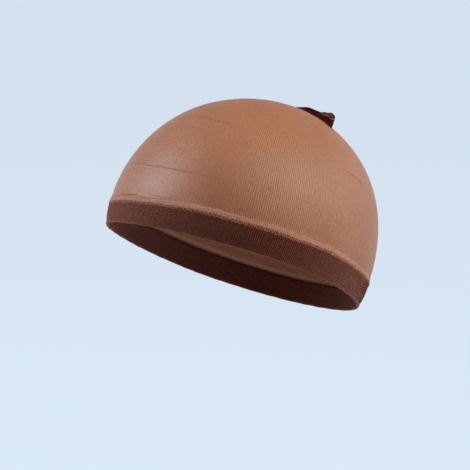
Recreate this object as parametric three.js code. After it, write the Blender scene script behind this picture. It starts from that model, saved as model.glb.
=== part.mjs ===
// Wig cap, kept in the stretched form that it has on a head.
// Millimetres, +Z up, -Y towards the face, +X towards the wearer's left ear.
// The origin is the centre of the head opening.
import * as THREE from "three";

// Outside of the stretched cap, measured from the middle of the head at its widest level
const HALF_WIDTH = 77;
const FRONT_REACH = 88.5;
const BACK_REACH = 101;
const CROWN_RISE = 83.5;
const LOWER_REACH = 96;

// Head opening, high at the forehead and low at the nape
const OPENING_TILT = THREE.MathUtils.degToRad(27.8);
const OPENING_DROP = 21.9;
const SIDE_LIFT = 0.56;
const EDGE_WANDER = 0.5;

// Cloth and the clearance between pieces
const CROWN_WALL = 1;
const BAND_WALL = 1.9;
const BAND_HEIGHT = 15;
const BAND_LIFT = 1.9;
const BAND_LIFT_TURN = THREE.MathUtils.degToRad(-66);
const BAND_LIFT_SPREAD = THREE.MathUtils.degToRad(19);
const PIECE_GAP = 0.3;

// Join that stands proud above the band
const RIDGE_WIDTH = 4;
const RIDGE_RISE = 0.8;
const RIDGE_OVERLAP = 0.8;

// Closing flap, two layers that open towards both ends
const FLAP_HALF_LENGTH = 36.5;
const FLAP_BACK_SHIFT = 3;
const FLAP_BOW = 3;
const FLAP_HEIGHT = 8;
const FLAP_OPENING = 2.3;
const FLAP_LAYER = 1;
const FLAP_FLOOR = 1.2;
const FLAP_END_LEAN = 0.08;
const FLAP_FLARE = 0.2;
const FLAP_RUFFLE = 0.7;
const FLAP_RUFFLE_WAVES = 2.5;

// Facet counts
const STEPS_AROUND = 64;
const STEPS_UP = 22;
const FLAP_STEPS = 72;
const SEARCH_STEPS = 40;

// Height of the band as a share of BAND_HEIGHT, from the middle of the forehead round to the nape
const BAND_PROFILE = [
  { way: 0, height: 0.8 },
  { way: 0.15, height: 0.81 },
  { way: 0.28, height: 0.93 },
  { way: 0.4, height: 1.04 },
  { way: 0.5, height: 1.03 },
  { way: 0.6, height: 1.02 },
  { way: 1, height: 1 },
];

// Section of the band, down its outside, round the lower fold and up its inside
const BAND_SECTION = [
  { height: 1, fold: -0.3, depth: 0.05 },
  { height: 0.66, fold: 0, depth: 0 },
  { height: 0.33, fold: 0, depth: 0 },
  { height: 0, fold: 1, depth: 0 },
  { height: 0, fold: 0.3, depth: 0.15 },
  { height: 0, fold: 0, depth: 0.5 },
  { height: 0, fold: 0.3, depth: 0.85 },
  { height: 0, fold: 1, depth: 1 },
  { height: 0.33, fold: 0, depth: 1 },
  { height: 0.66, fold: 0, depth: 1 },
  { height: 1, fold: -0.3, depth: 0.95 },
  { height: 1, fold: 0, depth: 0.8 },
  { height: 1, fold: 0, depth: 0.2 },
];

// Section of the join, over its rounded outside from the upper edge to the lower edge
const RIDGE_SECTION = [
  { across: 1, rise: 0 },
  { across: 0.94, rise: 0.45 },
  { across: 0.72, rise: 0.9 },
  { across: 0.45, rise: 1 },
  { across: 0.2, rise: 0.85 },
  { across: 0.04, rise: 0.45 },
  { across: 0, rise: 0 },
];

// Closing flap from its middle to an end: height of each layer as a share of FLAP_HEIGHT,
// and half the opening between them as a share of FLAP_OPENING
const FLAP_SHAPE = [
  { way: 0, front: 0.33, back: 0.28, opening: 0.11 },
  { way: 0.3, front: 0.45, back: 0.35, opening: 0.13 },
  { way: 0.5, front: 0.51, back: 0.43, opening: 0.22 },
  { way: 0.65, front: 0.49, back: 0.69, opening: 0.52 },
  { way: 0.8, front: 0.49, back: 0.91, opening: 0.91 },
  { way: 1, front: 0.6, back: 0.88, opening: 1 },
];

const HEAD_MIDDLE = new THREE.Vector3(0, 0, 0);
const SIDEWAYS = new THREE.Vector3(1, 0, 0);
const OPENING_BACK = new THREE.Vector3(0, Math.cos(OPENING_TILT), -Math.sin(OPENING_TILT));
const OPENING_UP = new THREE.Vector3(0, Math.sin(OPENING_TILT), Math.cos(OPENING_TILT));

// Value of one column of a table at a share of the way, eased between the rows
function tableValue(table, column, way) {
  const next = Math.max(1, table.findIndex((row) => row.way >= way));
  const before = table[next - 1];
  const after = table[next];
  const ease = THREE.MathUtils.smoothstep(way, before.way, after.way);
  return THREE.MathUtils.lerp(before[column], after[column], ease);
}

// Reach of the head form in the eighth of space that holds the point
function reachFor(point) {
  const reachY = point.y > 0 ? BACK_REACH : FRONT_REACH;
  const reachZ = point.z > 0 ? CROWN_RISE : LOWER_REACH;
  return new THREE.Vector3(HALF_WIDTH, reachY, reachZ);
}

function isInside(point) {
  return point.clone().divide(reachFor(point)).lengthSq() < 1;
}

function outwardAt(point) {
  const reach = reachFor(point);
  return point.clone().divide(reach).divide(reach).normalize();
}

// Point of the outer surface that a line from a point inside meets
function surfacePoint(from, direction) {
  let near = 0;
  let far = 2 * (HALF_WIDTH + FRONT_REACH + BACK_REACH + CROWN_RISE + LOWER_REACH);
  const unit = direction.clone().normalize();
  for (let step = 0; step < SEARCH_STEPS; step += 1) {
    const middle = (near + far) / 2;
    if (isInside(from.clone().addScaledVector(unit, middle))) near = middle;
    else far = middle;
  }
  return from.clone().addScaledVector(unit, near);
}

const openingLevel = new THREE.Vector3(0, 0, -OPENING_DROP);
const napePoint = surfacePoint(openingLevel, OPENING_BACK);
const foreheadPoint = surfacePoint(openingLevel, OPENING_BACK.clone().negate());
const openingCentre = napePoint.clone().lerp(foreheadPoint, 0.5);
const topReach = reachFor(OPENING_UP).multiply(OPENING_UP);
const topPoint = topReach.clone().multiply(reachFor(OPENING_UP)).divideScalar(topReach.length());
const capDepth = topPoint.clone().sub(openingCentre).dot(OPENING_UP);

// Point of the cap by turn round the opening, height over its edge and distance outside the surface
function capPoint(turn, height, outside) {
  const wander = SIDE_LIFT * Math.cos(2 * turn) - EDGE_WANDER * Math.sin(3 * turn);
  const level = height / capDepth;
  const share = level + (wander / capDepth) * (1 - level);
  const centre = openingCentre.clone().lerp(topPoint, share);
  const direction = SIDEWAYS.clone().multiplyScalar(Math.cos(turn));
  direction.addScaledVector(OPENING_BACK, Math.sin(turn));
  const point = surfacePoint(centre, direction);
  return point.addScaledVector(outwardAt(point), outside).sub(openingCentre);
}

// Point over the crown by its distances sideways and backwards from the top
function crownPoint(side, back, outside) {
  const direction = topPoint.clone().addScaledVector(SIDEWAYS, side);
  direction.addScaledVector(OPENING_BACK, back);
  const point = surfacePoint(HEAD_MIDDLE, direction);
  return point.addScaledVector(outwardAt(point), outside).sub(openingCentre);
}

// Share of the way from the middle of the forehead to the nape
function wayRound(turn) {
  return 0.5 + Math.asin(Math.sin(turn)) / Math.PI;
}

// Height of the band, which is pulled up a little further left of the forehead
function bandHeight(turn) {
  const fromLift = Math.asin(Math.sin((turn - BAND_LIFT_TURN) / 2)) * 2;
  const lift = BAND_LIFT * Math.exp(-((fromLift / BAND_LIFT_SPREAD) ** 2) / 2);
  return BAND_HEIGHT * tableValue(BAND_PROFILE, "height", wayRound(turn)) + lift;
}

// Ring of points, one for each turn
function ringOf(count, pointAt) {
  return Array.from({ length: count }, (unused, index) => pointAt((index / count) * 2 * Math.PI));
}

function wallTriangles(rings, first, second) {
  const count = rings[first].length;
  const triangles = [];
  for (let index = 0; index < count; index += 1) {
    const next = (index + 1) % count;
    triangles.push([rings[first][index], rings[second][index], rings[first][next]]);
    triangles.push([rings[first][next], rings[second][index], rings[second][next]]);
  }
  return triangles;
}

// Flat closing of a ring, point by point across its long axis
function closingTriangles(ring, facesBack) {
  const count = ring.length;
  const triangles = [];
  for (let index = 0; index < count / 2; index += 1) {
    const opposite = ring[(count - index) % count];
    const nextOpposite = ring[count - index - 1];
    const next = ring[index + 1];
    if (next !== nextOpposite) triangles.push([ring[index], next, nextOpposite]);
    if (index > 0) triangles.push([ring[index], nextOpposite, opposite]);
  }
  return facesBack ? triangles.map((corners) => corners.reverse()) : triangles;
}

function geometryOf(triangles) {
  const geometry = new THREE.BufferGeometry().setFromPoints(triangles.flat());
  geometry.computeVertexNormals();
  return geometry;
}

// Body whose rings run from one closed end to the other
function shellGeometry(rings) {
  const triangles = closingTriangles(rings[0], false);
  for (let index = 1; index < rings.length; index += 1) {
    triangles.push(...wallTriangles(rings, index - 1, index));
  }
  triangles.push(...closingTriangles(rings[rings.length - 1], true));
  return geometryOf(triangles);
}

// Body whose last ring meets its first
function hoopGeometry(rings) {
  const wall = (ring, index) => wallTriangles(rings, index, (index + 1) % rings.length);
  return geometryOf(rings.flatMap(wall));
}

// Crown, down its outside and up its inside
function crownGeometry() {
  const lowerEdge = (turn) => bandHeight(turn) + PIECE_GAP;
  const nearlyTop = 0.15;
  const levels = [];
  for (let step = 0; step <= STEPS_UP; step += 1) {
    const climb = 1 - Math.max(step, nearlyTop) / STEPS_UP;
    levels.push(Math.sin((climb * Math.PI) / 2));
  }
  const skinRing = (level, outside) =>
    ringOf(STEPS_AROUND, (turn) => {
      const height = THREE.MathUtils.lerp(lowerEdge(turn), capDepth, level);
      return capPoint(turn, height, outside);
    });
  const outerRings = levels.map((level) => skinRing(level, 0));
  const innerRings = levels.map((level) => skinRing(level, -CROWN_WALL)).reverse();
  return shellGeometry([...outerRings, ...innerRings]);
}

function bandGeometry() {
  const foldRadius = BAND_WALL / 2;
  const rings = BAND_SECTION.map((row) =>
    ringOf(STEPS_AROUND, (turn) =>
      capPoint(turn, row.height * bandHeight(turn) + row.fold * foldRadius, -row.depth * BAND_WALL),
    ),
  );
  return hoopGeometry(rings);
}

function ridgeGeometry() {
  const rings = RIDGE_SECTION.map((row) =>
    ringOf(STEPS_AROUND, (turn) => {
      const height = bandHeight(turn) - RIDGE_OVERLAP + row.across * RIDGE_WIDTH;
      return capPoint(turn, height, PIECE_GAP + row.rise * RIDGE_RISE);
    }),
  );
  return hoopGeometry(rings);
}

// Ring of the closing flap: its inset from the outer face, its level between base and free edge
function flapRing(inset, base, level) {
  return ringOf(FLAP_STEPS, (turn) => {
    const along = Math.cos(turn);
    const across = Math.sin(turn);
    const way = Math.abs(along);
    const backShare = THREE.MathUtils.smoothstep(across, -0.4, 0.4);
    const front = FLAP_HEIGHT * tableValue(FLAP_SHAPE, "front", way);
    const back = FLAP_HEIGHT * tableValue(FLAP_SHAPE, "back", way);
    const free = THREE.MathUtils.lerp(front, back, backShare);
    const opening = FLAP_OPENING * tableValue(FLAP_SHAPE, "opening", way);
    const flare = 1 + FLAP_FLARE * level;
    const halfWidth = (opening + FLAP_LAYER - inset) * flare;
    const ruffle = FLAP_RUFFLE * level * Math.cos(FLAP_RUFFLE_WAVES * Math.PI * along);
    const middle = FLAP_BACK_SHIFT - FLAP_BOW * along * along + ruffle;
    const side = (FLAP_HALF_LENGTH - inset) * along * (1 - FLAP_END_LEAN * level * way);
    const backward = middle + halfWidth * Math.sign(across) * Math.sqrt(Math.abs(across));
    return crownPoint(side, backward, PIECE_GAP + THREE.MathUtils.lerp(base, free, level));
  });
}

// Closing flap, up the inside of its opening, over the free edge and down the outside
function flapGeometry() {
  const rings = [
    flapRing(FLAP_LAYER, FLAP_FLOOR, 0),
    flapRing(FLAP_LAYER, FLAP_FLOOR, 0.5),
    flapRing(FLAP_LAYER, FLAP_FLOOR, 0.96),
    flapRing(FLAP_LAYER / 2, 0, 1),
    flapRing(0, 0, 0.96),
    flapRing(0, 0, 0.5),
    flapRing(0, 0, 0),
  ];
  return shellGeometry(rings);
}

function namedMesh(name, geometry, color, roughness) {
  const material = new THREE.MeshStandardMaterial({ color, roughness, metalness: 0 });
  const mesh = new THREE.Mesh(geometry, material);
  mesh.name = name;
  return mesh;
}

const wigCap = new THREE.Group();
wigCap.name = "wig_cap";
wigCap.add(namedMesh("crown", crownGeometry(), "#a5745a", 0.8));
wigCap.add(namedMesh("band", bandGeometry(), "#4a2a22", 0.9));
wigCap.add(namedMesh("join_ridge", ridgeGeometry(), "#9a6a56", 0.85));
wigCap.add(namedMesh("closing_flap", flapGeometry(), "#331a14", 0.9));

export default wigCap;
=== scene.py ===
"""Wig cap in the stretched form that it has when worn, above a pale ground in soft light.

Sizes are in millimetres until the last step. +Z is up, -Y is the front, +X is the wearer's left.
The origin is the centre of the cap's opening.
"""

import math

import bpy
import numpy as np
from mathutils import Matrix, Vector


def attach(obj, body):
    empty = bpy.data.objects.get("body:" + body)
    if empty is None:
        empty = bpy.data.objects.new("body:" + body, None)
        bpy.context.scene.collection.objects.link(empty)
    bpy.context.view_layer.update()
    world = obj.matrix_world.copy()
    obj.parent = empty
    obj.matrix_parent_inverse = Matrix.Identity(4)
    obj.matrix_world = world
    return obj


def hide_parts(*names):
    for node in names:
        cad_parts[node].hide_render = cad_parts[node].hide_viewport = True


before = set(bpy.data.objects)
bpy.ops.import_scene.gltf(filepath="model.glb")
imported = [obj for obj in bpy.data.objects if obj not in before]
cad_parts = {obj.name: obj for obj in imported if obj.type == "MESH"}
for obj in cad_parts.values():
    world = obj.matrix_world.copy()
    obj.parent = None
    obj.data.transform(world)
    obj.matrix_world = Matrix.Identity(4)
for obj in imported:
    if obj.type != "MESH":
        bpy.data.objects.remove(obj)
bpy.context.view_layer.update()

MM = 0.001

# Form that the stretched cap follows, the same as in the solids
HALF_WIDTH = 77.0
FRONT_REACH = 88.5
BACK_REACH = 101.0
CROWN_RISE = 83.5
LOWER_REACH = 96.0
OPENING_TILT = math.radians(27.8)
OPENING_DROP = 21.9
SIDE_LIFT = 0.56
EDGE_WANDER = 0.5
PAST_FORM = 500.0
HALVINGS = 36

# Cloth
CROWN_WALL = 0.8
CROWN_ARC = 128.0
BAND_WALL = 1.9
BAND_LIFT = 1.9
BAND_LIFT_TURN = math.radians(-66)
BAND_LIFT_SPREAD = math.radians(19)
CROWN_WALES = 416
BAND_RIBS = 416

# Closing flap
FLAP_HALF_LENGTH = 37.4
FLAP_BACK_SHIFT = 3.0
FLAP_BOW = 3.0
FLAP_LAYER = 0.9
FLAP_FLOOR = 1.2
FLAP_END_LEAN = 0.1
FLAP_FLARE = 0.2

# Way from the middle of the front to the middle of the back, height of the dark band
BAND_HEIGHTS = [
    (0.0, 12.0),
    (0.15, 12.2),
    (0.28, 14.0),
    (0.4, 15.6),
    (0.5, 15.45),
    (0.6, 15.3),
    (1.0, 15.0),
]

# Way from the middle to an end, height of the front layer, of the back layer, half the opening
FLAP_SHAPE = [
    (0.0, 2.6, 2.2, 0.25),
    (0.3, 3.6, 2.8, 0.3),
    (0.5, 4.1, 3.4, 0.5),
    (0.65, 3.9, 5.5, 1.2),
    (0.8, 3.9, 7.3, 2.1),
    (1.0, 4.8, 7.0, 2.3),
]

SIN_TILT = math.sin(OPENING_TILT)
COS_TILT = math.cos(OPENING_TILT)
SIDEWAYS = np.array([1.0, 0.0, 0.0])
OPENING_BACK = np.array([0.0, COS_TILT, -SIN_TILT])
OPENING_UP = np.array([0.0, SIN_TILT, COS_TILT])


def reach_for(points):
    reach = np.empty_like(points)
    reach[..., 0] = HALF_WIDTH
    reach[..., 1] = np.where(points[..., 1] > 0, BACK_REACH, FRONT_REACH)
    reach[..., 2] = np.where(points[..., 2] > 0, CROWN_RISE, LOWER_REACH)
    return reach


def outward_at(points):
    normal = points / reach_for(points) ** 2
    return normal / np.linalg.norm(normal, axis=-1, keepdims=True)


def surface_points(starts, directions):
    """Where lines from points inside the form meet it."""
    units = directions / np.linalg.norm(directions, axis=-1, keepdims=True)
    near = np.zeros(units.shape[:-1])
    far = np.full(units.shape[:-1], PAST_FORM)
    for _ in range(HALVINGS):
        middle = (near + far) / 2
        points = starts + units * middle[..., None]
        inside = ((points / reach_for(points)) ** 2).sum(axis=-1) < 1
        near = np.where(inside, middle, near)
        far = np.where(inside, far, middle)
    return starts + units * near[..., None]


opening_level = np.array([0.0, 0.0, -OPENING_DROP])
back_end = surface_points(opening_level, OPENING_BACK)
front_end = surface_points(opening_level, -OPENING_BACK)
opening_centre = (back_end + front_end) / 2
top_reach = reach_for(OPENING_UP) * OPENING_UP
top_point = top_reach * reach_for(OPENING_UP) / np.linalg.norm(top_reach)
cap_depth = float((top_point - opening_centre) @ OPENING_UP)


def smooth(value):
    value = np.clip(value, 0, 1)
    return value * value * (3 - 2 * value)


def table_value(table, column, way):
    ways = np.array([row[0] for row in table])
    values = np.array([row[column] for row in table])
    after = np.clip(np.searchsorted(ways, way, side="left"), 1, len(ways) - 1)
    before = after - 1
    share = smooth((way - ways[before]) / (ways[after] - ways[before]))
    return values[before] + (values[after] - values[before]) * share


def way_round(turn):
    return 0.5 + np.arcsin(np.sin(turn)) / math.pi


def band_height(turn):
    from_lift = np.arcsin(np.sin((turn - BAND_LIFT_TURN) / 2)) * 2
    lift = BAND_LIFT * np.exp(-((from_lift / BAND_LIFT_SPREAD) ** 2) / 2)
    return table_value(BAND_HEIGHTS, 1, way_round(turn)) + lift


def cap_points(turn, height, outside):
    """Points by turn round the opening, height over its edge and distance outside the cap."""
    turn, height, outside = np.broadcast_arrays(turn, height, outside)
    wander = SIDE_LIFT * np.cos(2 * turn) - EDGE_WANDER * np.sin(3 * turn)
    level = height / cap_depth
    share = level + wander / cap_depth * (1 - level)
    centre = opening_centre + (top_point - opening_centre) * share[..., None]
    direction = SIDEWAYS * np.cos(turn)[..., None] + OPENING_BACK * np.sin(turn)[..., None]
    points = surface_points(centre, direction)
    return points + outward_at(points) * outside[..., None] - opening_centre


def crown_points(side, back, outside):
    """Points over the crown by distances sideways and backwards from the top."""
    side, back, outside = np.broadcast_arrays(side, back, outside)
    direction = top_point + SIDEWAYS * side[..., None] + OPENING_BACK * back[..., None]
    points = surface_points(np.zeros(3), direction)
    return points + outward_at(points) * outside[..., None] - opening_centre


# Camera at the photograph's angle
CAMERA_AZIMUTH = math.radians(37.46)
CAMERA_ELEVATION = math.radians(13.76)
CAMERA_DISTANCE = 1.2
PICTURE = 470
FOCAL_PIXELS = 1958.4
SENSOR = 36.0
MIDDLE_PIXEL = (239.3, 235.4)

toward_camera = Vector(
    (
        math.sin(CAMERA_AZIMUTH) * math.cos(CAMERA_ELEVATION),
        -math.cos(CAMERA_AZIMUTH) * math.cos(CAMERA_ELEVATION),
        math.sin(CAMERA_ELEVATION),
    )
)
camera_right = Vector((math.cos(CAMERA_AZIMUTH), math.sin(CAMERA_AZIMUTH), 0))
camera_up = toward_camera.cross(camera_right)
form_middle = Vector(-opening_centre * MM)


def aimed(back, right, up, location):
    rotation = Matrix((right, up, back)).transposed().to_4x4()
    return Matrix.Translation(location) @ rotation


camera_data = bpy.data.cameras.new("camera")
camera_data.sensor_width = SENSOR
camera_data.sensor_fit = "HORIZONTAL"
camera_data.lens = SENSOR * FOCAL_PIXELS / PICTURE
camera_data.shift_x = (PICTURE / 2 - MIDDLE_PIXEL[0]) / PICTURE
camera_data.shift_y = (MIDDLE_PIXEL[1] - PICTURE / 2) / PICTURE
camera_data.clip_end = 60
camera = bpy.data.objects.new("camera", camera_data)
bpy.context.collection.objects.link(camera)
camera.matrix_world = aimed(
    toward_camera, camera_right, camera_up, form_middle + toward_camera * CAMERA_DISTANCE
)
bpy.context.scene.camera = camera


# Light
def area_light(name, direction, distance, size, energy, color):
    data = bpy.data.lights.new(name, "AREA")
    data.shape = "DISK"
    data.size = size
    data.energy = energy
    data.color = color
    light = bpy.data.objects.new(name, data)
    bpy.context.collection.objects.link(light)
    way = Vector(direction).normalized()
    light.location = form_middle + way * distance
    light.rotation_euler = way.to_track_quat("Z", "Y").to_euler()


def studio_way(right, up, near):
    return camera_right * right + camera_up * up + toward_camera * near


# Name, way from the middle (right, up, near), distance and size in metres, power, colour
AREA_LIGHTS = [
    ("light_left", (-0.84, 0.58, 0.12), 1.3, 0.8, 13.9, (0.82, 0.89, 1.0)),
    ("light_right", (0.8, 0.58, 0.3), 1.3, 0.7, 14.2, (1.0, 0.92, 0.8)),
    ("light_top", (-0.1, 1.0, 0.15), 1.5, 1.2, 0.7, (1.0, 0.95, 0.93)),
]
for light_name, light_way, light_distance, light_size, light_energy, light_color in AREA_LIGHTS:
    area_light(
        light_name, studio_way(*light_way), light_distance, light_size, light_energy, light_color
    )

# Surround: pale near the horizon so that the ground has no visible edge, dim above it
SURROUND_COLOR = (0.63, 0.735, 0.835, 1)
FADE_START, FADE_END = 0.15, 0.3
UPPER_STRENGTH = 0.05
world = bpy.data.worlds.new("soft_surround")
bpy.context.scene.world = world
world.use_nodes = True
world_tree = world.node_tree
background = world_tree.nodes["Background"]
background.inputs["Color"].default_value = SURROUND_COLOR
direction_parts = world_tree.nodes.new("ShaderNodeSeparateXYZ")
world_tree.links.new(
    world_tree.nodes.new("ShaderNodeTexCoord").outputs["Generated"], direction_parts.inputs[0]
)
fading = world_tree.nodes.new("ShaderNodeMapRange")
fading.inputs[1].default_value = FADE_START
fading.inputs[2].default_value = FADE_END
fading.inputs[3].default_value = 1.0
fading.inputs[4].default_value = UPPER_STRENGTH
world_tree.links.new(direction_parts.outputs[2], fading.inputs[0])
world_tree.links.new(fading.outputs[0], background.inputs["Strength"])
bpy.context.scene.view_settings.view_transform = "Standard"


# Material nodes
class Shading:
    """Small helper that adds nodes to one material and links them."""

    def __init__(self, name):
        self.material = bpy.data.materials.new(name)
        self.material.use_nodes = True
        self.tree = self.material.node_tree
        self.shader = self.tree.nodes["Principled BSDF"]
        self.shader.inputs["Metallic"].default_value = 0

    def put(self, value, socket):
        if isinstance(value, bpy.types.NodeSocket):
            self.tree.links.new(value, socket)
        else:
            socket.default_value = value

    def math(self, operation, first, second=None, third=None):
        node = self.tree.nodes.new("ShaderNodeMath")
        node.operation = operation
        for index, value in enumerate((first, second, third)):
            if value is not None:
                self.put(value, node.inputs[index])
        return node.outputs[0]

    def noise(self, vector, scale, detail=2.0, roughness=0.5):
        node = self.tree.nodes.new("ShaderNodeTexNoise")
        self.put(vector, node.inputs["Vector"])
        node.inputs["Scale"].default_value = scale
        node.inputs["Detail"].default_value = detail
        node.inputs["Roughness"].default_value = roughness
        return node.outputs["Fac"]

    def mix(self, share, first, second, blend="MIX"):
        node = self.tree.nodes.new("ShaderNodeMix")
        node.data_type = "RGBA"
        node.blend_type = blend
        self.put(share, node.inputs[0])
        self.put(first, node.inputs[6])
        self.put(second, node.inputs[7])
        return node.outputs[2]

    def range(self, value, low, high, new_low=0.0, new_high=1.0):
        node = self.tree.nodes.new("ShaderNodeMapRange")
        self.put(value, node.inputs[0])
        node.inputs[1].default_value = low
        node.inputs[2].default_value = high
        node.inputs[3].default_value = new_low
        node.inputs[4].default_value = new_high
        return node.outputs[0]

    def bump(self, height, distance, strength=1.0, normal=None):
        node = self.tree.nodes.new("ShaderNodeBump")
        node.inputs["Distance"].default_value = distance
        node.inputs["Strength"].default_value = strength
        self.put(height, node.inputs["Height"])
        if normal is not None:
            self.put(normal, node.inputs["Normal"])
        return node.outputs["Normal"]

    def coordinates(self, output):
        return self.tree.nodes.new("ShaderNodeTexCoord").outputs[output]

    def split(self, vector):
        node = self.tree.nodes.new("ShaderNodeSeparateXYZ")
        self.put(vector, node.inputs[0])
        return node.outputs[0], node.outputs[1]

    def join(self, x, y, z=0.0):
        node = self.tree.nodes.new("ShaderNodeCombineXYZ")
        for index, value in enumerate((x, y, z)):
            self.put(value, node.inputs[index])
        return node.outputs[0]

    def vary(self, color, pattern, amount):
        """The colour made up to that share lighter and darker by the pattern."""
        share = self.range(pattern, 0.25, 0.75, 1 - amount, 1 + amount)
        return self.mix(1.0, color, self.join(share, share, share), "MULTIPLY")


def knit_heights(shading, wale, course):
    """Rib of each wale, and the slanted loops along it, both from 0 to 1."""
    from_middle = shading.math("ABSOLUTE", shading.math("SUBTRACT", shading.math("FRACT", wale), 0.5))
    hollow = shading.math("POWER", shading.math("MULTIPLY", from_middle, 2.0), 2.0)
    rib = shading.math("SUBTRACT", 1.0, hollow)
    phase = shading.math("ADD", course, from_middle)
    loops = shading.math("COSINE", shading.math("MULTIPLY", phase, 2 * math.pi))
    loops = shading.math("MULTIPLY_ADD", loops, 0.5, 0.5)
    return rib, loops


# Knit: scales and shares of the noise patterns, relief in millimetres, and roughness of the cloth
DRIFT_SCALE = 55
WALE_DRIFT = 0.5
COURSE_DRIFT = 1.2
FUZZ_SCALE = 2600
FUZZ_SHARE = 0.22
CALM_FUZZ_SHARE = 0.5
CALM_RIB = 0.66
BLOTCH_SCALE = 26
STREAK_SCALE = 9.0
STREAK_RELIEF = 0.6
STREAK_RELIEF_SHARE = 0.35
DASH_SCALE = 0.9
UNEVEN_ROUGHNESS = 0.08
SHEEN_ROUGHNESS = 0.45


def quiet_share(shading, around, upward, calm, top_calm):
    """How far the ribs fade, in a stretch round the cap and toward the top."""
    centre, inner, outer, most = calm
    from_centre = shading.math("ABSOLUTE", shading.math("SUBTRACT", around, centre))
    quiet = shading.range(from_centre, inner, outer, most, 0.0)
    if top_calm:
        low, high, strength = top_calm
        quiet = shading.math("MAXIMUM", quiet, shading.range(upward, low, high, 0.0, strength))
    return quiet


def knit_material(
    name,
    yarn,
    gap,
    wales,
    courses_per_mm,
    relief,
    rib_share=0.6,
    blotch=0.12,
    streak=0.1,
    roughness=0.78,
    sheen=0.0,
    gap_depth=0.55,
    dash_share=0.3,
    dash_length=0.28,
    gloss=0.25,
    shade=None,
    edge=None,
    specks_and_glints=None,
    calm=None,
    top_calm=None,
    lean=0.0,
    sheen_tint=(1.0, 0.86, 0.78),
):
    """Knit on a surface whose first coordinate goes once round and whose second is in centimetres.

    calm: middle, inner and outer reach and strength of the stretch where the ribs fade
    top_calm: start, end and strength of the same toward the top
    shade: start and end of a foot darkened and warmed as painted shade, and its tint
    edge: start and end of a ragged change to another colour
    specks_and_glints: scale, start, end and strength of dots, and their colour, specks in the yarn on most
    cloths, painted glints on the flap
    """
    shading = Shading(name)
    around, upward = shading.split(shading.coordinates("UV"))
    position = shading.coordinates("Object")
    drift = shading.noise(position, DRIFT_SCALE, 2)
    wale = shading.math("MULTIPLY", around, float(wales))
    wale = shading.math("ADD", wale, shading.math("MULTIPLY", drift, WALE_DRIFT))
    wale = shading.math("MULTIPLY_ADD", upward, lean, wale)
    course = shading.math("MULTIPLY", upward, 10.0 * courses_per_mm)
    course = shading.math("ADD", course, shading.math("MULTIPLY", drift, COURSE_DRIFT))
    rib, loops = knit_heights(shading, wale, course)
    fuzz_share = FUZZ_SHARE
    if calm:
        quiet = quiet_share(shading, around, upward, calm, top_calm)
        loud = shading.math("SUBTRACT", 1.0, quiet)
        evened = shading.math("MULTIPLY", quiet, CALM_RIB)
        rib = shading.math("ADD", shading.math("MULTIPLY", rib, loud), evened)
        fuzz_share = shading.math("MULTIPLY_ADD", quiet, CALM_FUZZ_SHARE, FUZZ_SHARE)
    height = shading.math("MULTIPLY", rib, shading.math("MULTIPLY_ADD", loops, 1 - rib_share, rib_share))
    fuzz = shading.noise(position, FUZZ_SCALE, 2, 0.6)
    height = shading.math("ADD", height, shading.math("MULTIPLY", fuzz, fuzz_share))

    dash_around = shading.math("MULTIPLY", wale, DASH_SCALE)
    dash_upward = shading.math("MULTIPLY", course, dash_length)
    dashes = shading.noise(shading.join(dash_around, dash_upward), 1.0, 1, 0.5)
    shown = shading.math("ADD", height, shading.range(dashes, 0.25, 0.75, -dash_share, dash_share))
    fill = shading.range(shown, 0.1, 0.85, 1 - gap_depth, 1.0)
    color = shading.mix(fill, (*gap, 1), (*yarn, 1))
    color = shading.vary(color, shading.noise(position, BLOTCH_SCALE, 3, 0.55), blotch)
    streak_around = shading.math("MULTIPLY", around, STREAK_SCALE)
    streak_upward = shading.math("MULTIPLY", upward, STREAK_SCALE)
    streaks = shading.noise(shading.join(streak_around, streak_upward), 1.0, 3, 0.7)
    color = shading.vary(color, streaks, streak)
    # painted shade: darker and warmer toward the foot
    if shade:
        low, high, darkest = shade
        tint = shading.mix(shading.range(upward, low, high), (*darkest, 1), (1, 1, 1, 1))
        color = shading.mix(1.0, color, tint, "MULTIPLY")
    if edge:
        start, end, other = edge
        ragged = shading.math("ADD", upward, shading.range(dashes, 0.3, 0.7, start - end, end - start))
        color = shading.mix(shading.range(ragged, start, end), color, (*other, 1))
    # dots: specks in the yarn on most cloths, painted glints on the flap
    if specks_and_glints:
        scale, low, high, most, other = specks_and_glints
        dots = shading.range(shading.noise(position, scale, 1, 0.5), low, high, 0.0, most)
        if calm:
            dots = shading.math("MULTIPLY", dots, quiet)
        color = shading.mix(dots, color, (*other, 1))

    shader = shading.shader
    shading.put(color, shader.inputs["Base Color"])
    smoothest, roughest = roughness - UNEVEN_ROUGHNESS, roughness + UNEVEN_ROUGHNESS
    shading.put(shading.range(fuzz, 0.2, 0.8, smoothest, roughest), shader.inputs["Roughness"])
    shader.inputs["Specular IOR Level"].default_value = gloss
    shader.inputs["Sheen Weight"].default_value = sheen
    shader.inputs["Sheen Roughness"].default_value = SHEEN_ROUGHNESS
    shader.inputs["Sheen Tint"].default_value = (*sheen_tint, 1)
    coarse = shading.bump(streaks, STREAK_RELIEF * MM, STREAK_RELIEF_SHARE)
    shading.put(shading.bump(height, relief * MM, 1.0, coarse), shader.inputs["Normal"])
    return shading.material


def linear(*steps):
    """Linear colour of one given in the usual steps of 255."""
    shares = [step / 255 for step in steps]
    return tuple(
        share / 12.92 if share <= 10 / 255 else ((share + 0.055) / 1.055) ** 2.4 for share in shares
    )


# Crown knit: its foot toward the band is painted shade, partly the denser knit there
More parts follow.
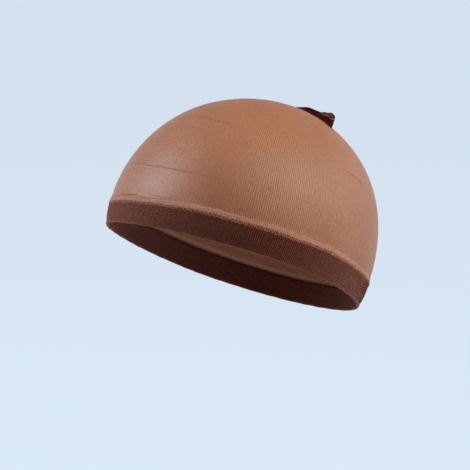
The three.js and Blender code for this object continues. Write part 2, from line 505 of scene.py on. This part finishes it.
crown_cloth_material = knit_material(
    "crown_knit",
    linear(187, 125, 90),
    linear(112, 62, 36),
    CROWN_WALES,
    0.85,
    0.15,
    rib_share=0.62,
    gap_depth=0.9,
    roughness=0.46,
    dash_share=0.2,
    dash_length=0.45,
    gloss=0.62,
    calm=(0.69, 0.07, 0.16, 0.6),
    shade=(0.3, 5.5, (0.77, 0.65, 0.51)),
    specks_and_glints=(1050, 0.5, 0.66, 0.4, linear(214, 160, 132)),
    top_calm=(5.0, 9.0, 0.5),
    lean=1.1,
)
band_cloth_material = knit_material(
    "band_knit",
    linear(94, 40, 27),
    linear(32, 11, 8),
    BAND_RIBS,
    0.85,
    0.35,
    rib_share=0.45,
    roughness=0.6,
    sheen=0.38,
    gap_depth=1.0,
    dash_share=0.32,
    dash_length=0.55,
    gloss=0.1,
    specks_and_glints=(1500, 0.54, 0.66, 1.0, linear(142, 86, 68)),
    calm=(0.69, 0.05, 0.16, 0.7),
    sheen_tint=(1.0, 0.46, 0.28),
)
join_material = knit_material(
    "join_knit",
    linear(180, 121, 86),
    linear(108, 63, 42),
    CROWN_WALES,
    0.85,
    0.3,
    rib_share=0.5,
    blotch=0.14,
    streak=0.16,
    roughness=0.55,
    gloss=0.6,
    edge=(0.28, 0.37, linear(112, 62, 44)),
)
# Dark flap knit, its brighter dots painted glints
flap_material = knit_material(
    "flap_knit",
    linear(76, 28, 18),
    linear(24, 7, 4),
    150,
    1.4,
    0.25,
    rib_share=0.55,
    blotch=0.4,
    streak=0.6,
    roughness=0.7,
    gloss=0.05,
    specks_and_glints=(170, 0.5, 0.66, 0.65, linear(124, 62, 34)),
)
# Darker thread of the pulled courses, partly painted shade, also used for the painted crease shade above the
# join
pulled_and_crease_shade_material = knit_material(
    "pulled_course_and_crease_shade", linear(148, 92, 66), linear(126, 76, 54), 24, 1.0, 0.05, blotch=0.1
)
flap_inner_material = knit_material(
    "flap_inside",
    linear(108, 60, 34),
    linear(44, 20, 12),
    150,
    1.4,
    0.2,
    blotch=0.3,
    streak=0.2,
    sheen=0.05,
)
# Pale rim of the flap's front layer near its ends: a painted highlight
flap_edge_highlight_material = knit_material(
    "flap_edge",
    linear(146, 96, 80),
    linear(84, 46, 36),
    150,
    1.4,
    0.1,
    blotch=0.2,
    streak=0.2,
)
thread_material = knit_material(
    "pale_thread",
    linear(186, 120, 88),
    linear(142, 88, 64),
    24,
    1.0,
    0.05,
    blotch=0.15,
    streak=0.1,
    specks_and_glints=(1100, 0.5, 0.66, 0.6, linear(124, 68, 48)),
)


# Mesh building
def ring_turns(count):
    return np.arange(count) * 2 * math.pi / count


def mesh_piece(name, vertices, faces, material, corners=None):
    mesh = bpy.data.meshes.new(name)
    mesh.from_pydata(vertices, [], faces)
    layer = mesh.uv_layers.new(name="knit")
    if corners is not None:
        layer.data.foreach_set("uv", np.array(corners, dtype=np.float32).ravel())
    mesh.polygons.foreach_set("use_smooth", [True] * len(mesh.polygons))
    mesh.materials.append(material)
    piece = bpy.data.objects.new(name, mesh)
    bpy.context.collection.objects.link(piece)
    return piece


def surface_object(name, rings, uv, material, closing):
    """Mesh through rings of points, closed as a "hoop", last ring to first, or by a "zip" at both ends.

    uv holds one more column than rings, and a hoop's one more row.
    """
    row_count, count = rings.shape[:2]
    vertices = rings.reshape(-1, 3) * MM
    last_row = row_count if closing == "hoop" else row_count - 1
    row, column = np.meshgrid(np.arange(last_row), np.arange(count), indexing="ij")
    row, column = row.ravel(), column.ravel()
    next_row, next_column = (row + 1) % row_count, (column + 1) % count
    quads = np.stack(
        [
            row * count + column,
            next_row * count + column,
            next_row * count + next_column,
            row * count + next_column,
        ],
        axis=1,
    )
    uv_quads = np.stack(
        [uv[row, column], uv[row + 1, column], uv[row + 1, column + 1], uv[row, column + 1]], axis=1
    )
    faces = [tuple(face) for face in quads.tolist()]
    loops = [tuple(pair) for pair in uv_quads.reshape(-1, 2).tolist()]
    if closing == "zip":
        for base, backwards in ((0, False), ((row_count - 1) * count, True)):
            for index in range(count // 2):
                face = [index, index + 1, count - index - 1, (count - index) % count]
                source = [index, index + 1, index + 1, index]
                kept = [place for place, corner in enumerate(face) if corner not in face[:place]]
                kept = kept[::-1] if backwards else kept
                faces.append(tuple(base + face[place] for place in kept))
                for place in kept:
                    around, upward = uv[0 if base == 0 else row_count - 1, source[place]]
                    loops.append((around, upward + (0.1 if place > 1 else 0.0)))
    return mesh_piece(name, vertices.tolist(), faces, material, loops)


def tube_rings(path, normals, radius, sides):
    """Rings of a round tube along an open path."""
    tangent = np.gradient(path, axis=0)
    tangent /= np.linalg.norm(tangent, axis=1, keepdims=True)
    binormal = np.cross(tangent, normals)
    binormal /= np.linalg.norm(binormal, axis=1, keepdims=True)
    normal = np.cross(binormal, tangent)
    angle = ring_turns(sides)[None, :, None]
    radius = np.broadcast_to(radius, (len(path),))[:, None, None]
    return path[:, None] + radius * (np.cos(angle) * normal[:, None] - np.sin(angle) * binormal[:, None])


def finish_piece(piece, nodes):
    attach(piece, "root")
    if nodes:
        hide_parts(*nodes)
    return piece


def waves(turn, height, seed, counts, reach, strength):
    """Gentle uneven relief that closes on itself once round, from waves with those counts."""
    draw = np.random.RandomState(seed)
    total = np.zeros(np.broadcast(turn, height).shape)
    for count in counts:
        phase = draw.uniform(0, 2 * math.pi)
        slope = draw.uniform(-1, 1)
        share = draw.uniform(0.6, 1)
        rippled = share * np.sin(count * turn + slope * height / reach + phase)
        total = total + rippled * np.cos(height / reach * draw.uniform(0.6, 1.4) + draw.uniform(0, 6))
    return strength * total / len(counts)


# Crown: rings run from the closing seam out to the lower edge, so the wales end on the seam.
# The seam lies under the flap, which stands behind the top and bows forward at its ends.
CROWN_FOOT = 0.2
PUCKER_COUNT = 34
PUCKER_RELIEF = 0.35
PUCKER_REACH = 9
DRAWN_RELIEF = -0.2
DRAWN_ARC = 5.2
DRAWN_REACH = 1.4
INNER_STEP = 3


def crown_ring_points(share, turn, outside):
    seam_share = FLAP_HALF_LENGTH / CROWN_ARC
    across = np.sqrt(share**2 + seam_share**2 * (1 - share) ** 2)
    seam_back = (FLAP_BACK_SHIFT - FLAP_BOW * np.cos(turn) ** 2) / CROWN_ARC
    x, y = across * np.cos(turn), share * np.sin(turn) + seam_back * (1 - share) ** 4
    polar = np.hypot(x, y)
    angle = np.arctan2(y, x)
    low = band_height(angle) + CROWN_FOOT
    height = low + (cap_depth - low) * np.cos(polar * math.pi / 2)
    return cap_points(angle, height, outside)


def build_crown():
    count, row_count = 480, 84
    turn = ring_turns(count)[None, :]
    first_share, bunching = 0.006, 0.9
    share = (np.linspace(first_share, 1, row_count) ** bunching)[:, None]
    arc = (1 - share) * CROWN_ARC
    pucker = PUCKER_RELIEF * np.exp(-((share * CROWN_ARC) / PUCKER_REACH) ** 2) * np.cos(PUCKER_COUNT * turn)
    drawn_in = DRAWN_RELIEF * np.exp(-((arc - DRAWN_ARC) / DRAWN_REACH) ** 2)
    uneven = waves(turn, arc, seed=3, counts=(2, 3, 5, 8, 13), reach=25, strength=0.25)
    relief = uneven + pucker + drawn_in
    outer = crown_ring_points(share, turn, relief)
    inner = crown_ring_points(share[::-INNER_STEP], turn, relief[::-INNER_STEP] - CROWN_WALL)
    rings = np.concatenate([outer, inner])
    arcs = np.concatenate([arc, arc[::-INNER_STEP]])[:, 0]
    uv = np.empty((len(rings), count + 1, 2))
    uv[..., 0] = np.linspace(0, 1, count + 1)[None, :]
    uv[..., 1] = arcs[:, None] / 10
    return surface_object("crown_cloth", rings, uv, crown_cloth_material, "zip")


crown_cloth = finish_piece(build_crown(), ["crown"])


# Band: ribbed outside, rounded lower fold, plain inside
def build_band():
    count = BAND_RIBS * 3
    turn = ring_turns(count)[None, :]
    fold = BAND_WALL / 2
    top = band_height(turn)
    fold_share, rib_relief, inside_arc = 0.06, 0.09, 40
    rows = [(share, 0.0, 0.0) for share in np.linspace(1, fold_share, 16)]
    for angle in np.linspace(0, math.pi, 9)[1:-1]:
        rows.append((0.0, fold * (1 - math.sin(angle)), fold * (1 - math.cos(angle))))
    rows += [(share, 0.0, BAND_WALL) for share in np.linspace(fold_share, 1, 8)]
    rows.append((1.0, 0.0, fold))
    rings, arcs = [], []
    for share, lift, depth in rows:
        height = share * top + lift
        outer_share = 1 - depth / BAND_WALL
        soft = smooth(np.clip(height / 2.5, 0, 1)) * outer_share
        rib = rib_relief * np.cos(BAND_RIBS * turn) * soft
        swell = waves(turn, height, seed=11, counts=(3, 7, 17, 31, 47), reach=6, strength=0.22) * outer_share
        groove = -0.25 * np.exp(-((height - 2.6) / 1.2) ** 2) * outer_share
        groove = groove + 0.25 * smooth((height - 3) / 6) * outer_share
        edge = waves(turn, 0 * turn, seed=12, counts=(9, 21, 44, 63), reach=6, strength=0.25) * (1 - share)
        rings.append(cap_points(turn, height + edge, -depth + rib + swell + groove)[0])
        arcs.append(float(np.mean(height)) + (0 if depth < fold else inside_arc))
    uv = np.empty((len(rings) + 1, count + 1, 2))
    uv[..., 0] = np.linspace(0, 1, count + 1)[None, :]
    uv[..., 1] = np.array(arcs + [arcs[0] + 0.1])[:, None] / 10
    return surface_object("band_cloth", np.array(rings), uv, band_cloth_material, "hoop")


band_cloth = finish_piece(build_band(), ["band"])

# Section of the raised join: share across, share of the rise
JOIN_SECTION = [
    (1.0, -0.3),
    (0.94, 0.0),
    (0.85, 0.28),
    (0.73, 0.62),
    (0.6, 0.9),
    (0.47, 1.0),
    (0.34, 0.94),
    (0.2, 0.74),
    (0.09, 0.45),
    (0.03, 0.2),
    (0.0, -0.3),
]
JOIN_WIDTH = 4.6
JOIN_RISE = 0.42
JOIN_OVERLAP = 0.6
JOIN_FLOAT = 0.1
JOIN_UV_STEP = 0.046


def build_join():
    count = 960
    turn = ring_turns(count)[None, :]
    rings = []
    wobble = waves(turn, 0 * turn, seed=21, counts=(5, 12, 29, 50, 83), reach=6, strength=0.5)
    for share, rise in JOIN_SECTION:
        across = 0 * turn + share * 3
        lump = 1 + waves(turn, across, seed=22, counts=(17, 43, 77, 120), reach=2, strength=0.35)
        height = band_height(turn) - JOIN_OVERLAP + wobble * 0.6 + share * (JOIN_WIDTH + wobble)
        rings.append(cap_points(turn, height, JOIN_FLOAT + rise * JOIN_RISE * lump)[0])
    uv = np.empty((len(rings) + 1, count + 1, 2))
    uv[..., 0] = np.linspace(0, 1, count + 1)[None, :]
    uv[..., 1] = (np.arange(len(rings) + 1) * JOIN_UV_STEP)[:, None]
    return surface_object("join_roll", np.array(rings), uv, join_material, "hoop")


join_roll = finish_piece(build_join(), ["join_ridge"])


# Row of small loops where the pale join meets the dark band, loosest at one side of the front
LOOSEST_TURN = math.radians(-50)
LOOSE_SPREAD = math.radians(40)
LEAST_LOOSE, MORE_LOOSE = 0.55, 0.6
LOOP_LIFT = 0.1
MEAN_RADIUS = 83


def build_loops():
    loop_count, around, sides = 228, 12, 5
    draw = np.random.RandomState(5)
    vertices, faces, loops = [], [], []
    half_width, half_height, thread = 1.0, 0.85, 0.21
    section = np.array(JOIN_SECTION)[::-1]
    for index in range(loop_count):
        centre_turn = (index + draw.uniform(-0.12, 0.12)) * 2 * math.pi / loop_count
        edge_height = float(band_height(np.array(centre_turn)))
        centre_height = edge_height + LOOP_LIFT + draw.uniform(-0.25, 0.25)
        from_loosest = math.remainder(centre_turn - LOOSEST_TURN, 2 * math.pi)
        loose = LEAST_LOOSE + MORE_LOOSE * math.exp(-((from_loosest / LOOSE_SPREAD) ** 2))
        angle = ring_turns(around)
        lean = draw.uniform(-0.25, 0.25)
        side = half_width * np.cos(angle) * draw.uniform(0.85, 1.1)
        height = loose * half_height * np.sin(angle) * draw.uniform(0.85, 1.15) + lean * side
        share = (centre_height + height - edge_height + JOIN_OVERLAP) / JOIN_WIDTH
        rise = np.interp(share, section[:, 0], section[:, 1], left=0.0)
        floating = JOIN_FLOAT + LOOP_LIFT + np.maximum(rise, 0) * JOIN_RISE
        turns = centre_turn + side / MEAN_RADIUS
        path = cap_points(turns, centre_height + height, floating)
        outward = cap_points(turns, centre_height + height, floating + 1) - path
        tangent = np.roll(path, -1, axis=0) - np.roll(path, 1, axis=0)
        across = np.cross(outward, tangent)
        across /= np.linalg.norm(across, axis=1, keepdims=True)
        for step in range(around):
            for part in range(sides):
                turn = 2 * math.pi * part / sides
                offset = math.cos(turn) * across[step] + math.sin(turn) * outward[step]
                vertices.append((path[step] + thread * offset) * MM)
        base = index * around * sides
        for step in range(around):
            for part in range(sides):
                next_step, next_part = (step + 1) % around, (part + 1) % sides
                faces.append(
                    (
                        base + step * sides + part,
                        base + step * sides + next_part,
                        base + next_step * sides + next_part,
                        base + next_step * sides + part,
                    )
                )
    return mesh_piece("border_loops", [tuple(vertex) for vertex in vertices], faces, thread_material)


border_loops = finish_piece(build_loops(), [])


# Closing flap: two ruffled layers that open at the ends
FLAP_FOLD_LEVEL = 0.95
FLAP_UV_STEP = 0.07


def flap_ring(inset, base, level, count, grow=0.0):
    turn = ring_turns(count)
    along, across = np.cos(turn), np.sin(turn)
    way = np.abs(along)
    back_share = smooth((across + 0.4) / 0.8)
    front = table_value(FLAP_SHAPE, 1, way)
    back_height = table_value(FLAP_SHAPE, 2, way)
    free = (front + (back_height - front) * back_share) * (1 - 0.16 * smooth((way - 0.86) / 0.14)) + grow
    free = free + 0.25 * np.sin(9 * along + 2 * back_share) + 0.15 * np.sin(23 * along + 4 * back_share)
    half_width = (table_value(FLAP_SHAPE, 3, way) + FLAP_LAYER - inset) * (1 + FLAP_FLARE * level)
    crinkle = 0.2 * np.sin(8.5 * level + 5 * along + 2 * across)
    half_width = half_width + crinkle * math.sin(math.pi * min(level, 1))
    ruffle = level * (0.7 * np.cos(2.5 * math.pi * along) + 0.3 * np.sin(19 * along + 1.5 * back_share))
    middle = FLAP_BACK_SHIFT - FLAP_BOW * along**2 + ruffle
    side = (FLAP_HALF_LENGTH - inset) * along * (1 - FLAP_END_LEAN * level * way)
    back = middle + half_width * np.sign(across) * np.sqrt(np.abs(across))
    return crown_points(side, back, base + (free - base) * level)


def build_flap():
    count = 288
    layer_rows = 8
    fold_angles = np.linspace(0, math.pi, 6)[1:-1]
    inside_levels = np.linspace(0, FLAP_FOLD_LEVEL, layer_rows)
    rings = [flap_ring(FLAP_LAYER, FLAP_FLOOR, level, count) for level in inside_levels]
    for angle in fold_angles:
        inset = FLAP_LAYER * (0.5 + 0.5 * math.cos(angle))
        rings.append(flap_ring(inset, 0.0, 0.97 + 0.03 * math.sin(angle), count, 0.25 * math.sin(angle)))
    outside_levels = np.linspace(FLAP_FOLD_LEVEL, 0, layer_rows)
    rings += [flap_ring(0.0, 0.0, level, count) for level in outside_levels]
    rings = np.array(rings)
    uv = np.empty((len(rings), count + 1, 2))
    uv[..., 0] = np.linspace(0, 1, count + 1)[None, :]
    uv[..., 1] = (np.arange(len(rings)) * FLAP_UV_STEP)[:, None]
    piece = surface_object("flap_cloth", rings, uv, flap_material, "zip")
    piece.data.materials.append(flap_inner_material)
    piece.data.materials.append(flap_edge_highlight_material)
    along, across = np.cos(ring_turns(count)), np.sin(ring_turns(count))
    # faces of the front rim near the ends take the pale knit, a painted highlight
    painted_highlight_edge = (across < 0.2) & (np.abs(along) > 0.62)
    slots = np.zeros(len(piece.data.polygons), dtype=int)
    first_fold_row = layer_rows - 1
    slots[: first_fold_row * count] = 1
    for row in range(first_fold_row, layer_rows + len(fold_angles)):
        slots[row * count : (row + 1) * count] = np.where(painted_highlight_edge, 2, 0)
    piece.data.polygons.foreach_set("material_index", slots.tolist())
    return piece


flap_cloth = finish_piece(build_flap(), ["closing_flap"])

# Courses of the crown that a snag has drawn tight, their darker colour partly painted shade, and the two
# just above the join painted crease shade: turns in degrees and heights of their two ends
PULLED_COURSES_AND_CREASE_SHADE = [
    (-112, -69, 36.1, 35.4, 0.17),
    (-94, -71, 73.1, 71.7, 0.14),
    (-15, 11, 70.4, 66.8, 0.15),
    # these two, just above the join, are painted crease shade
    (-112, -99, 16.7, 17.2, 0.14),
    (-94, -82, 17.8, 18.1, 0.13),
    (120, 141, 41.0, 40.2, 0.15),
]


def build_pulled_courses_and_crease_shade():
    vertices, faces = [], []
    sides = 6
    for start, end, low, high, thickness in PULLED_COURSES_AND_CREASE_SHADE:
        share = np.linspace(0, 1, 40)
        turn = np.radians(start + (end - start) * share)
        height = low + (high - low) * share + 0.25 * np.sin(7 * share + start)
        path = cap_points(turn, height, 0.02)
        outward = cap_points(turn, height, 1.02) - path
        radius = thickness * (0.15 + 0.85 * np.sin(math.pi * share) ** 0.5)
        rings = tube_rings(path, outward, radius, sides)
        base = len(vertices)
        vertices.extend(tuple(point * MM) for point in rings.reshape(-1, 3))
        for step in range(len(share) - 1):
            for part in range(sides):
                near, far = base + step * sides, base + (step + 1) * sides
                next_part = (part + 1) % sides
                faces.append((near + part, near + next_part, far + next_part, far + part))
        faces.append(tuple(base + part for part in range(sides)))
        faces.append(tuple(base + (len(share) - 1) * sides + part for part in reversed(range(sides))))
    return mesh_piece("pulled_courses_and_crease_shade", vertices, faces, pulled_and_crease_shade_material)


pulled_courses_and_crease_shade = finish_piece(build_pulled_courses_and_crease_shade(), [])

# Ground
ground_mesh = bpy.data.meshes.new("ground")
GROUND_HALF = 12.0
GROUND_LEVEL = -0.32
GROUND_COLOR = (0.1, 0.11, 0.12, 1)
GROUND_GLOW = (0.64, 0.74, 0.84, 1)
ground_mesh.from_pydata(
    [
        (-GROUND_HALF, -GROUND_HALF, GROUND_LEVEL),
        (GROUND_HALF, -GROUND_HALF, GROUND_LEVEL),
        (GROUND_HALF, GROUND_HALF, GROUND_LEVEL),
        (-GROUND_HALF, GROUND_HALF, GROUND_LEVEL),
    ],
    [],
    [(0, 1, 2, 3)],
)
ground_shading = Shading("ground")
ground_shading.shader.inputs["Base Color"].default_value = GROUND_COLOR
ground_shading.shader.inputs["Emission Color"].default_value = GROUND_GLOW
ground_shading.shader.inputs["Emission Strength"].default_value = 1.0
ground_shading.shader.inputs["Roughness"].default_value = 0.95
ground_shading.shader.inputs["Specular IOR Level"].default_value = 0.1
ground_mesh.materials.append(ground_shading.material)
ground = bpy.data.objects.new("ground", ground_mesh)
bpy.context.collection.objects.link(ground)

bpy.context.view_layer.update()
